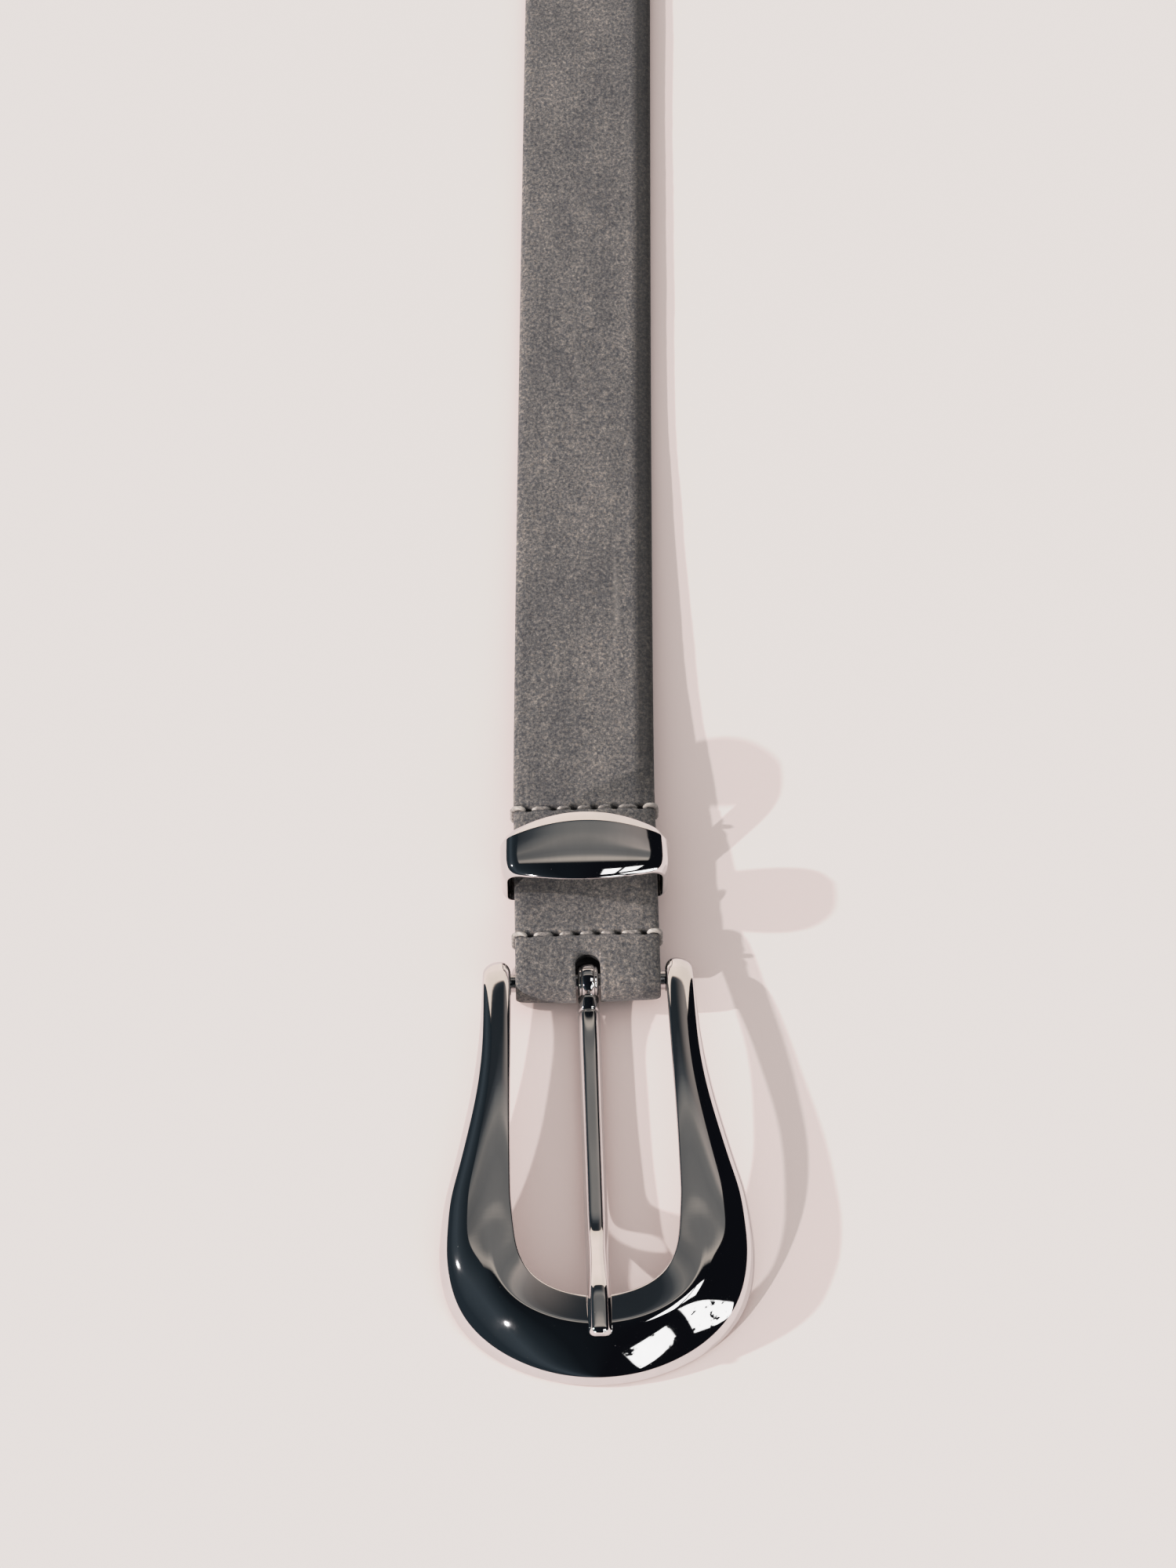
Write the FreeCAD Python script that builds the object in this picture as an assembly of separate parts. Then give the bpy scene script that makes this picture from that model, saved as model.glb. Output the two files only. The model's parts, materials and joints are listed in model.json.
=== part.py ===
"""Belt buckle on the end of its strap: domed horseshoe frame, heel bar, prong, keeper and folded strap.

Millimetres, +Z up. The strap runs along +Y and the buckle's tip points to -Y. The buckle lies face up
on a surface at Z 0, and the origin is the middle of the footprint. Every function models round the
heel bar (Y 0 on the bar's axis), and save() moves the finished piece to its place.
"""

import FreeCAD, Part
import math
import os

V = FreeCAD.Vector

# Driving dimensions
strap_w = 30.0  # belt width
strap_t = 3.2  # face, filler and lining together, where the strap lies flat
face_t = 1.2  # nubuck face leather
lining_t = 0.8  # lining leather along the strap
fold_lining_t = 0.6  # lining, pared thin where it goes round the bar
strap_end = 280.7  # from the bar's axis to the strap's square cut end
tip_reach = 88.7  # from the bar's axis to the frame's tip
bar_z = 5.4  # height of the bar's axis above the surface
bar_r = 1.9

# Strap fold and seams
fold_gap = 0.3  # between the bar and the leather round it
fold_r0 = bar_r + fold_gap
fold_r1 = fold_r0 + fold_lining_t
fold_r2 = fold_r1 + face_t
seam_front = 9.5
seam_rear = 41.0
turned_end = 49.0  # where the turned-back layer stops
filler_start = 5.0
flat_start = 165.0  # from here on the strap lies flat on the surface
slot_half_w = 2.6
slot_reach = 4.9  # the prong slot's round end, behind the bar's axis
thread_r = 0.45
stitch_pitch = 4.3
stitch_end_pitch = 5.4

# Frame
ear_reach = 4.6  # the ears' round ends, behind the bar's axis
ear_in = 16.0  # half the gap between the ears
lug_r = 2.8
lug_out = 20.6
bar_half = 19.4
fan_y = -50.0  # below this the ribs of the frame fan out from (0, fan_y)
rim_h = 1.0  # height of the outer rim's lower edge band
ear_out = 21.6  # half the width over the ears
crest_share = 0.28  # crest's place across the band along the limbs, from the inner edge
crest_rise = 0.45  # crest's height above the inner edge along the limbs
inner_power = 2.2  # roundness of the limbs' slope from the crest in to the inner edge
dome_power = 1.85  # roundness of the limbs' outer slope
tip_crest_share = 0.42  # the same four at the tip
tip_rise = 1.25
tip_inner_power = 1.2
tip_power = 1.45
tip_from, tip_full = -60.0, -82.0  # the band changes from one to the other here
inner_wall = 1.9  # thickness of the frame at its inner edge
shell_t = 2.0  # thickness left where the frame's back is hollowed out
hollow_from, hollow_full = -8.0, -28.0  # the hollow starts past the ears and reaches its depth here
rim_inset = 0.97  # the rim's lower edge, as a share of the way across the band
ear_ease = 0.35  # how much fuller than a half circle the ears' ends are

# Prong
eye_gap = 0.05
eye_r = 3.8
eye_half_w = 2.15
shaft_half_w = 2.37
neck_end = 6.6  # from here on the shaft is a little wider than the eye
shaft_edge = 0.8

# Keeper
keeper_y = 24.6
keeper_half_w = 17.6
keeper_wall = 1.5
keeper_bar_t = 1.1
keeper_top_t = 2.0
keeper_bottom = 3.95
keeper_crown = 20.7
keeper_bow_r = 41.0  # radius of the bowed top
keeper_bow_half = 14.6  # half the bow's width, up to the round shoulders
keeper_half_l = 8.0  # half the keeper's length along the strap, at its middle
keeper_side_half_l = 4.4  # the same at its side walls
keeper_foot = 1.4
keeper_edge = 1.2

bar_y = (tip_reach - strap_end) / 2.0  # the bar's axis, seen from the origin


def save(name, shape):
    placed = shape.copy()
    placed.translate(V(0, bar_y, 0))
    placed.exportStep("parts/" + name + ".step")


def spline(points, start=None, end=None):
    curve = Part.BSplineCurve()
    if start is None:
        curve.interpolate(Points=points)
    else:
        curve.interpolate(Points=points, InitialTangent=start, FinalTangent=end)
    return curve.toShape()


def line(a, b):
    return Part.LineSegment(a, b).toShape()


def curve_value(points, at):
    """Value at a place on the smooth curve through a few (place, value) points."""
    curve = Part.BSplineCurve()
    curve.interpolate(Points=[V(a, v, 0) for a, v in points])
    low, high = curve.FirstParameter, curve.LastParameter
    for _ in range(50):
        mid = (low + high) / 2.0
        if curve.value(mid).x < at:
            low = mid
        else:
            high = mid
    return curve.value((low + high) / 2.0).y


# ---------------------------------------------------------------------------------------------- strap

# Profiles in the YZ plane: (distance behind the bar's axis, height)
TOP = [(0, bar_z + fold_r2), (5, 9.25), (seam_front, 8.9), (20, 8.75), (30, 8.4), (36, 7.95),
       (seam_rear, 7.4), (50, 6.8), (60, 6.15), (80, 5.2), (105, 4.4), (125, 3.75), (145, 3.3),
       (flat_start, strap_t)]
MAIN_UNDER = [(0, bar_z + fold_r0), (5, 6.75), (seam_front, 5.35), (14, 5.6), (24, 5.6), (33, 5.5),
              (seam_rear, 4.3), (50, 3.6), (60, 2.95), (80, 2.0), (105, 1.2), (125, 0.55), (145, 0.1),
              (flat_start, 0)]
TURNED_TOP = [(0, bar_z - fold_r0), (5, 3.7), (seam_front, 4.9), (14, 3.65), (24, 3.6), (33, 3.65),
              (seam_rear, 3.95), (turned_end, 3.3)]
TURNED_UNDER = [(0, bar_z - fold_r2), (5, 1.9), (seam_front, 3.1), (14, 1.95), (24, 1.8), (33, 1.85),
                (seam_rear, 2.15), (turned_end, 1.5)]


def offset(profile, at_fold, further):
    """A profile moved in height, by one amount at the fold and another from there on."""
    return [(y, z + (at_fold if i == 0 else further)) for i, (y, z) in enumerate(profile)]


def profile_edges(profile, to_end):
    """A profile's edges from the bar outwards, with the flat stretch to the strap's end if it has one."""
    along = V(0, 1, 0)
    points = [V(0, y, z) for y, z in profile]
    edges = [spline(points, along, along)]
    if to_end:
        edges.append(line(points[-1], V(0, strap_end, points[-1].z)))
    return edges


def fold_arc(radius):
    top, front, under = V(0, 0, bar_z + radius), V(0, -radius, bar_z), V(0, 0, bar_z - radius)
    return Part.Arc(top, front, under).toShape()


def extrude_profile(edges):
    wire = Part.Wire(Part.__sortEdges__(edges))
    solid = Part.Face(wire).extrude(V(strap_w, 0, 0))
    solid.translate(V(-strap_w / 2.0, 0, 0))
    return solid


def slot_tool():
    """The round-ended slot for the prong, through every layer of the fold."""
    box = Part.makeBox(2 * slot_half_w, 10 + slot_reach - slot_half_w, 14)
    box.translate(V(-slot_half_w, -10, 0))
    end = Part.makeCylinder(slot_half_w, 14, V(0, slot_reach - slot_half_w, 0))
    return box.fuse(end).removeSplitter()


def folded_layer(upper_top, upper_under, lower_top, lower_under, r_out, r_in):
    """One leather that runs down the strap, round the bar and back under itself."""
    edges = profile_edges(upper_top, True) + profile_edges(upper_under, True)
    edges += profile_edges(lower_top, False) + profile_edges(lower_under, False)
    edges += [fold_arc(r_out), fold_arc(r_in)]
    edges.append(line(V(0, strap_end, upper_top[-1][1]), V(0, strap_end, upper_under[-1][1])))
    edges.append(line(V(0, turned_end, lower_top[-1][1]), V(0, turned_end, lower_under[-1][1])))
    return extrude_profile(edges)


def strap_face():
    upper_under = offset(TOP, -face_t, -face_t)
    lower_top = offset(TURNED_TOP, -fold_lining_t, -fold_lining_t)
    return folded_layer(TOP, upper_under, lower_top, TURNED_UNDER, fold_r2, fold_r1)


def strap_lining():
    upper_top = offset(MAIN_UNDER, fold_lining_t, lining_t)
    lower_under = offset(TURNED_TOP, -fold_lining_t, -fold_lining_t)
    return folded_layer(upper_top, MAIN_UNDER, TURNED_TOP, lower_under, fold_r1, fold_r0)


def strap_filler():
    """The core between face and lining, pared to an edge just behind the fold."""
    top = offset(TOP, -face_t, -face_t)
    under = offset(MAIN_UNDER, fold_lining_t, lining_t)
    edges = profile_edges(top, True) + profile_edges(under, True)
    edges.append(line(V(0, strap_end, top[-1][1]), V(0, strap_end, under[-1][1])))
    solid = extrude_profile(edges)
    front = Part.makeBox(strap_w + 2, filler_start + 5, 20)
    front.translate(V(-strap_w / 2.0 - 1, -5, 0))
    return solid.cut(front)


def stitch_holes():
    """Places across the strap where a row's thread goes through it."""
    middle = [(i - 2.5) * stitch_pitch for i in range(1, 5)]
    reach = 1.5 * stitch_pitch + stitch_end_pitch
    return [-reach] + middle + [reach]


def stitch_row(y, top_z, under_z):
    """One sewn row: a thread along the top and the underside, round both edges and through each hole."""
    half = strap_w / 2.0 + thread_r / 2.0
    side = 2 * thread_r
    bars = []
    for z in (top_z, under_z):
        bars.append(Part.makeBox(2 * half + side, side, side, V(-half - thread_r, y - thread_r, z - thread_r)))
    for x in [-half] + stitch_holes() + [half]:
        bars.append(Part.makeBox(side, side, top_z - under_z, V(x - thread_r, y - thread_r, under_z)))
    return bars[0].fuse(bars[1:]).removeSplitter()


# ---------------------------------------------------------------------------------------------- frame

# Half outlines along the limbs: (Y, half width), and round the fan: (angle below X, radius)
LIMB_OUT = [(-50, 30.1), (-43, 28.3), (-36, 26.6), (-22, 23.8), (-10, 22.4), (ear_reach, ear_out)]
LIMB_IN = [(-50, 17.0), (-36, 16.85), (-18, 16.4), (ear_reach, ear_in)]
FAN_OUT = [(0, 30.1), (10, 31.5), (20, 33.6), (30, 35.8), (42, 37.8), (55, 38.6), (72, 38.7), (90, 38.65)]
FAN_IN = [(0, 17.0), (15, 17.4), (32, 19.2), (48, 21.7), (62, 22.7), (76, 22.8), (90, 22.8)]
# Heights against Y: the inner edge's lower side and the outer rim's lower side
INNER_LOW = [(-72.8, 6.8), (-67, 7.85), (-58, 9.2), (-46, 9.9), (-36, 10.0), (-24, 9.4), (-12, 8.15), (-6, 7.4),
             (0, 6.25), (ear_reach, 5.1)]
OUTER_LOW = [(-88.7, 0.05), (-84, 0.25), (-78, 0.8), (-70, 1.9), (-62, 3.3), (-54, 5.1), (-44, 6.3),
             (-30, 6.8), (-14, 6.9), (0, 6.2), (ear_reach, 5.2)]


def ease(at, start, full):
    """0 before start, 1 past full and even in between."""
    return min(max((at - start) / (full - start), 0.0), 1.0)


def rib(inner, outer):
    """One cross-section of the frame's band, between a point on its inner and its outer outline."""
    low_in = curve_value(INNER_LOW, inner.y)
    low_out = curve_value(OUTER_LOW, outer.y)
    tip = ease(outer.y, tip_from, tip_full)
    peak = crest_share + (tip_crest_share - crest_share) * tip
    rise = crest_rise + (tip_rise - crest_rise) * tip
    top_in = low_in + inner_wall
    crest = top_in + rise
    rim = low_out + rim_h

    def at(share, z):
        p = inner + (outer - inner) * share
        return V(p.x, p.y, z)

    halfway_power = inner_power + (tip_inner_power - inner_power) * tip
    top = [at(0, top_in), at(peak / 2, crest - rise * 0.5 ** halfway_power)]
    for i in range(8):
        out = (i / 7.0) ** 0.6
        limb_height = (1 - out ** dome_power) ** (1 / dome_power)
        height = limb_height + (1 - out ** tip_power - limb_height) * tip
        top.append(at(peak + (1 - peak) * out, rim + (crest - rim) * height))
    hollow = ease(inner.y, hollow_from, hollow_full)
    depth = hollow * (crest - (low_in + low_out) / 2.0 - shell_t)
    under = []
    for step in (1.0, 0.77, 0.52, 0.26, 0.0):
        flat = low_in + (low_out - low_in) * step
        under.append(at(rim_inset * step, flat + depth * math.sin(math.pi * step)))
    edges = [spline(top), line(top[-1], under[0]), spline(under), line(under[-1], top[0])]
    return Part.Wire(edges)


def rib_points():
    """Inner and outer outline points of the right half's ribs, from the ear's end to the tip."""
    pairs = []
    for y in (ear_reach, -2, -10, -18, -27, -36, -44, -50):
        pairs.append((V(curve_value(LIMB_IN, y), y, 0), V(curve_value(LIMB_OUT, y), y, 0)))
    for degrees in (11, 22, 33, 44, 56, 68, 79, 90):
        a = math.radians(degrees)
        way = V(math.cos(a), -math.sin(a), 0)
        centre = V(0, fan_y, 0)
        pairs.append((centre + way * curve_value(FAN_IN, degrees), centre + way * curve_value(FAN_OUT, degrees)))
    return pairs


def ear_end_tool(side):
    """What rounds an ear's free end in plan: a square corner block less its inscribed round."""
    width = ear_out - ear_in
    middle = side * (ear_in + width / 2.0)
    block = Part.makeBox(width + 2, width, 16)
    block.translate(V(middle - width / 2.0 - 1, ear_reach - width / 2.0, 0))
    radius = width / 2.0 + ear_ease
    round_end = Part.makeCylinder(radius, 16, V(middle, ear_reach - radius, 0))
    return block.cut(round_end)


def frame():
    right = rib_points()
    ribs = [rib(inner, outer) for inner, outer in right]
    mirror = [rib(V(-inner.x, inner.y, 0), V(-outer.x, outer.y, 0)) for inner, outer in right[:-1]]
    band = Part.makeLoft(ribs + mirror[::-1], True, False)
    for side in (-1, 1):
        start = ear_in if side > 0 else -lug_out
        lug = Part.makeCylinder(lug_r, lug_out - ear_in, V(start, 0, bar_z), V(1, 0, 0))
        band = band.fuse(lug)
        band = band.cut(ear_end_tool(side))
    hole = Part.makeCylinder(bar_r, 2 * bar_half, V(-bar_half, 0, bar_z), V(1, 0, 0))
    return band.cut(hole)


def heel_bar():
    return Part.makeCylinder(bar_r, 2 * bar_half, V(-bar_half, 0, bar_z), V(1, 0, 0))


# ---------------------------------------------------------------------------------------------- prong

# Side profile of the prong's upper and lower faces: (Y, height)
PRONG_TOP = [(-1.0, 7.9), (-4.0, 6.3), (-9, 5.35), (-20, 5.0), (-38, 5.25), (-52, 5.75), (-58.5, 6.5), (-63, 8.3),
             (-67.5, 10.45), (-70.5, 11.75), (-73, 12.45), (-76, 12.6), (-80, 12.33), (-82.6, 12.12)]
PRONG_UNDER = [(-1.0, 2.8), (-4.0, 2.6), (-9, 2.3), (-20, 2.2), (-38, 2.45), (-52, 2.95), (-59.5, 3.9), (-64.5, 6.2),
               (-69, 8.6), (-72.5, 9.9), (-76, 10.3), (-80, 10.25), (-82.6, 10.0)]


def prong():
    """A flat eye round the bar and a shaft that steps up over the frame's inner edge near its tip."""
    top = spline([V(0, y, z) for y, z in PRONG_TOP])
    under = spline([V(0, y, z) for y, z in PRONG_UNDER])
    ends = [line(V(0, *PRONG_TOP[i]), V(0, *PRONG_UNDER[i])) for i in (0, -1)]
    wire = Part.Wire(Part.__sortEdges__([top, under] + ends))
    shaft = Part.Face(wire).extrude(V(2 * shaft_half_w, 0, 0))
    shaft.translate(V(-shaft_half_w, 0, 0))
    long_edges = [e for e in shaft.Edges if e.BoundBox.YLength > 60 and e.BoundBox.ZMax > 12]
    shaft = shaft.makeFillet(shaft_edge, long_edges)
    neck_trim = Part.makeBox(2, neck_end, 10)
    for side in (-1, 1):
        trim = neck_trim.copy()
        trim.translate(V(side * (eye_half_w + 1) - 1, -neck_end, 0))
        shaft = shaft.cut(trim)
    eye = Part.makeCylinder(eye_r, 2 * eye_half_w, V(-eye_half_w, 0, bar_z), V(1, 0, 0))
    bore = Part.makeCylinder(bar_r + eye_gap, 2 * eye_half_w + 2, V(-eye_half_w - 1, 0, bar_z), V(1, 0, 0))
    return eye.fuse(shaft).cut(bore)


# --------------------------------------------------------------------------------------------- keeper


def keeper_front(half_w, bottom, crown, bow_half):
    """A front outline: flat base, upright sides, round shoulders and a bowed top, as a wire in the XZ plane."""
    lean = math.asin(bow_half / keeper_bow_r)
    bow_end = crown - keeper_bow_r * (1 - math.cos(lean))
    corner = (half_w - bow_half) / (1 - math.sin(lean))
    side = bow_end - corner * math.cos(lean)
    halfway = (lean + math.pi / 2) / 2
    foot = keeper_foot
    ease_in = foot * (1 - math.cos(math.pi / 4))
    edges = [line(V(-half_w + foot, 0, bottom), V(half_w - foot, 0, bottom))]
    for s in (-1, 1):
        mid = V(s * (half_w - ease_in), 0, bottom + ease_in)
        edges.append(Part.Arc(V(s * (half_w - foot), 0, bottom), mid, V(s * half_w, 0, bottom + foot)).toShape())
        edges.append(line(V(s * half_w, 0, bottom + foot), V(s * half_w, 0, side)))
        bend = V(s * (half_w - corner + corner * math.sin(halfway)), 0, side + corner * math.cos(halfway))
        edges.append(Part.Arc(V(s * half_w, 0, side), bend, V(s * bow_half, 0, bow_end)).toShape())
    edges.append(Part.Arc(V(-bow_half, 0, bow_end), V(0, 0, crown), V(bow_half, 0, bow_end)).toShape())
    return Part.Wire(Part.__sortEdges__(edges))


def keeper_plan():
    """Its barrel outline seen from above, extruded."""
    ends = keeper_half_w + 0.5
    edges = []
    for s in (-1, 1):
        start, end = V(-ends, s * keeper_side_half_l, 0), V(ends, s * keeper_side_half_l, 0)
        edges.append(Part.Arc(start, V(0, s * keeper_half_l, 0), end).toShape())
    for s in (-1, 1):
        edges.append(line(V(s * ends, -keeper_side_half_l, 0), V(s * ends, keeper_side_half_l, 0)))
    return Part.Face(Part.Wire(Part.__sortEdges__(edges))).extrude(V(0, 0, 30))


def keeper():
    outer = keeper_front(keeper_half_w, keeper_bottom, keeper_crown, keeper_bow_half)
    length = 2 * (keeper_half_l + 4)
    body = Part.Face(outer).extrude(V(0, length, 0))
    body.translate(V(0, -length / 2, 0))
    body = body.common(keeper_plan())
    rims = [e for e in body.Edges if e.BoundBox.ZMax > keeper_crown - 0.1 and e.BoundBox.XLength > keeper_bow_half]
    body = body.makeFillet(keeper_edge, rims)
    inner_half_w = keeper_half_w - keeper_wall
    inner_bow_half = inner_half_w - keeper_half_w + keeper_bow_half
    inner = keeper_front(inner_half_w, keeper_bottom + keeper_bar_t, keeper_crown - keeper_top_t, inner_bow_half)
    opening = Part.Face(inner).extrude(V(0, length, 0))
    opening.translate(V(0, -length / 2, 0))
    solid = body.cut(opening)
    # The base is a narrow straight bar, so that it runs between the strap's two layers.
    base_cut = Part.makeBox(2 * keeper_half_w, length, keeper_foot + keeper_bar_t)
    for y in (keeper_side_half_l, -keeper_side_half_l - length):
        trim = base_cut.copy()
        trim.translate(V(-keeper_half_w, y, keeper_bottom - 1))
        solid = solid.cut(trim)
    solid.translate(V(0, keeper_y, 0))
    return solid


# ----------------------------------------------------------------------------------------------- main

os.makedirs("parts", exist_ok=True)
front_row = stitch_row(seam_front, curve_value(TOP, seam_front), curve_value(TURNED_UNDER, seam_front))
rear_row = stitch_row(seam_rear, curve_value(TOP, seam_rear), curve_value(TURNED_UNDER, seam_rear))
for layer, make in (("strap_face", strap_face), ("strap_filler", strap_filler), ("strap_lining", strap_lining)):
    save(layer, make().cut(slot_tool()).cut(front_row).cut(rear_row))
save("stitch_row_front", front_row)
save("stitch_row_rear", rear_row)
save("buckle_frame", frame())
save("heel_bar", heel_bar())
save("prong", prong())
save("keeper_loop", keeper())
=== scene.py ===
import json
import math

import bmesh
import bpy
import numpy
from mathutils import Matrix, Vector, noise


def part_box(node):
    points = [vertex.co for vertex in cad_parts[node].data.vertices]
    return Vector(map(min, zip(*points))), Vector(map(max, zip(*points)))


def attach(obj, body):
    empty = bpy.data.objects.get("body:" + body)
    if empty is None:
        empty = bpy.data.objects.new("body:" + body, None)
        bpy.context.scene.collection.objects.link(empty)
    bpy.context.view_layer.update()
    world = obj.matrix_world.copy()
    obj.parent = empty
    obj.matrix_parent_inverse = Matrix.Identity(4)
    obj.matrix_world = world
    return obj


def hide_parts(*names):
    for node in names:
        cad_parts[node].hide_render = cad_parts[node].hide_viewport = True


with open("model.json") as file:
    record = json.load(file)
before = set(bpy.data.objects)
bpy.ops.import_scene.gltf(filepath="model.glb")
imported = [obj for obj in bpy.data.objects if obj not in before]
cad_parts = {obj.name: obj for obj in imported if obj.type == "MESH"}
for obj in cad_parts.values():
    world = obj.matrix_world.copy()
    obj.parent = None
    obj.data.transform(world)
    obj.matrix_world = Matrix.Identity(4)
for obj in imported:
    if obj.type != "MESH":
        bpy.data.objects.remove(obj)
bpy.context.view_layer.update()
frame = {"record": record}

# Everything below is worked out in millimetres round the heel bar: X across the strap, Y from the
# bar's axis along the strap, Z up from the surface. place() turns that into the frame's metres.
MM = 0.001
JOINTS = {joint["name"]: joint for joint in frame["record"]["behaviour"]["joints"]}
BAR = Vector(JOINTS["frame_hinge"]["pos_m"])
bar_z = BAR.z / MM

# The strap and its fold round the bar, as in the CAD
strap_w = 30.0
strap_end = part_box("strap_face")[1].y / MM - BAR.y / MM
strap_t = 3.2
face_t = 1.2
lining_t = 0.8
fold_lining_t = 0.6
bar_r = 1.9
bar_half = 19.4
fold_r0 = 2.2
fold_r1 = fold_r0 + fold_lining_t
fold_r2 = fold_r1 + face_t
seam_front = 9.5
seam_rear = 41.0
turned_end = 49.0  # where the turned-back layer stops
flat_start = 165.0  # from here on the strap lies flat
slot_half_w = 2.6
slot_reach = 4.9  # the slot's round end, behind the bar's axis


def place(p):
    """A point in this file's millimetres as one in the frame's metres."""
    return Vector((p[0] * MM, p[1] * MM + BAR.y, p[2] * MM))


# The camera's response: scene values on the left are shown as the values on the right.
RESPONSE = [(0.0, 0.0), (0.2, 0.2), (0.54, 0.509), (0.9, 0.694), (1.2, 0.807), (2.0, 0.97)]


def linear(*rgb):
    """A surface colour given as eight-bit values, as scene-linear values with alpha."""
    return tuple(((c / 255 + 0.055) / 1.055) ** 2.4 if c > 10 else c / 255 / 12.92 for c in rgb) + (1.0,)


def shown(*rgb):
    """The light that the camera shows as these eight-bit values."""
    scene_values, seen_values = zip(*RESPONSE)
    return tuple(float(numpy.interp(c, seen_values, scene_values)) for c in linear(*rgb)[:3]) + (1.0,)


class Smooth:
    """A natural cubic curve through (place, value) points; a value may be a number or a row of numbers."""

    def __init__(self, points, flat_ends=False):
        self.x = numpy.array([p[0] for p in points], float)
        values = numpy.array([p[1] for p in points], float)
        self.shape = values.shape[1:]
        self.y = values.reshape(len(points), -1)
        n, h = len(self.x), numpy.diff(self.x)
        slope = (numpy.diff(self.y, axis=0).T / h).T
        a, b = numpy.zeros((n, n)), numpy.zeros_like(self.y)
        for i in range(1, n - 1):
            a[i, i - 1 : i + 2] = h[i - 1], 2 * (h[i - 1] + h[i]), h[i]
            b[i] = 6 * (slope[i] - slope[i - 1])
        a[0, 0] = a[-1, -1] = 1.0
        if flat_ends:
            a[0, :2] = 2 * h[0], h[0]
            b[0] = 6 * slope[0]
            a[-1, -2:] = h[-1], 2 * h[-1]
            b[-1] = -6 * slope[-1]
        self.m = numpy.linalg.solve(a, b)

    def __call__(self, at):
        i = int(min(max(numpy.searchsorted(self.x, at) - 1, 0), len(self.x) - 2))
        h = self.x[i + 1] - self.x[i]
        at = min(max(at, self.x[0]), self.x[-1])
        left, right = (self.x[i + 1] - at) / h, (at - self.x[i]) / h
        bend = (left**3 - left) * self.m[i] + (right**3 - right) * self.m[i + 1]
        value = left * self.y[i] + right * self.y[i + 1] + bend * h * h / 6
        return value.reshape(self.shape) if self.shape else float(value[0])


def steps(a, b, n):
    """n + 1 evenly spaced values from a to b."""
    return [a + (b - a) * i / n for i in range(n + 1)]


def bump(x, width):
    """1 at x 0, falling smoothly to 0 at the width."""
    return math.cos(math.pi / 2 * min(abs(x) / width, 1.0)) ** 2


def mesh_piece(name, rings, body, replaced, material, loop=False):
    """A piece skinned over rings of equally many points: closed on itself, or capped at its ends."""
    n = len(rings[0])
    verts = [place(p) for ring in rings for p in ring]
    faces = []
    count = len(rings)
    for r in range(count if loop else count - 1):
        a, b = r * n, (r + 1) % count * n
        for i in range(n):
            j = (i + 1) % n
            faces.append((a + i, a + j, b + j, b + i))
    if not loop:
        faces.append(tuple(range(n))[::-1])
        faces.append(tuple(range((count - 1) * n, count * n)))
    mesh = bpy.data.meshes.new(name)
    mesh.from_pydata(verts, [], faces)
    return finish_piece(name, mesh, body, replaced, material)


def finish_piece(name, mesh, body, replaced, material):
    """Turns a mesh's faces outwards, smooths them, gives the piece its material, hangs it on its body and
    hides the CAD part it replaces.
    """
    work = bmesh.new()
    work.from_mesh(mesh)
    bmesh.ops.recalc_face_normals(work, faces=work.faces)
    work.to_mesh(mesh)
    work.free()
    for polygon in mesh.polygons:
        polygon.use_smooth = True
    mesh.materials.clear()
    mesh.materials.append(material)
    piece = bpy.data.objects.new(name, mesh)
    bpy.context.scene.collection.objects.link(piece)
    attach(piece, body)
    if replaced:
        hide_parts(replaced)
    return piece


# ------------------------------------------------------------------------------------------ materials


class Nodes:
    """Short ways to add and join the nodes of one tree."""

    def __init__(self, tree):
        self.tree = tree
        tree.nodes.clear()

    def add(self, kind, **settings):
        node = self.tree.nodes.new(kind)
        for key, value in settings.items():
            if key in node.bl_rna.properties:
                setattr(node, key, value)
            else:
                self.feed(node.inputs[key.replace("_", " ")], value)
        return node

    def feed(self, socket, value):
        if isinstance(value, bpy.types.NodeSocket):
            self.tree.links.new(value, socket)
        else:
            socket.default_value = value

    def math(self, operation, a, b=0.0, c=0.0):
        node = self.tree.nodes.new("ShaderNodeMath")
        node.operation = operation
        for socket, value in zip(node.inputs, (a, b, c)):
            self.feed(socket, value)
        return node.outputs[0]

    def ramp(self, value, stops, mode="LINEAR"):
        """value through a colour ramp of (place, colour) stops."""
        node = self.tree.nodes.new("ShaderNodeValToRGB")
        node.color_ramp.interpolation = mode
        points = node.color_ramp.elements
        while len(points) < len(stops):
            points.new(1.0)
        for point, (at, colour) in zip(points, stops):
            point.position = at
        for point, (at, colour) in zip(points, stops):
            point.color = colour
        self.feed(node.inputs[0], value)
        return node.outputs[0]

    def spread(self, value, low, high, to_low=0.0, to_high=1.0):
        """value from low..high spread smoothly over to_low..to_high."""
        node = self.tree.nodes.new("ShaderNodeMapRange")
        node.interpolation_type = "SMOOTHSTEP"
        for i, v in enumerate((value, low, high, to_low, to_high)):
            self.feed(node.inputs[i], v)
        return node.outputs[0]

    def mix(self, share, a, b, kind="MIX"):
        node = self.tree.nodes.new("ShaderNodeMix")
        node.data_type = "RGBA"
        node.blend_type = kind
        self.feed(node.inputs[0], share)
        self.feed(node.inputs[6], a)
        self.feed(node.inputs[7], b)
        return node.outputs[2]

    def noise(self, where, scale, detail=3.0, roughness=0.5, stretch=(1, 1, 1)):
        mapping = self.add("ShaderNodeMapping", Vector=where, Scale=stretch)
        node = self.add("ShaderNodeTexNoise", Vector=mapping.outputs[0], Scale=scale, Detail=detail)
        node.inputs["Roughness"].default_value = roughness
        return node.outputs["Fac"]

    def bump(self, height, strength, distance, under=None):
        node = self.add("ShaderNodeBump", Height=height, Strength=strength, Distance=distance)
        if under is not None:
            self.feed(node.inputs["Normal"], under)
        return node.outputs[0]


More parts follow.
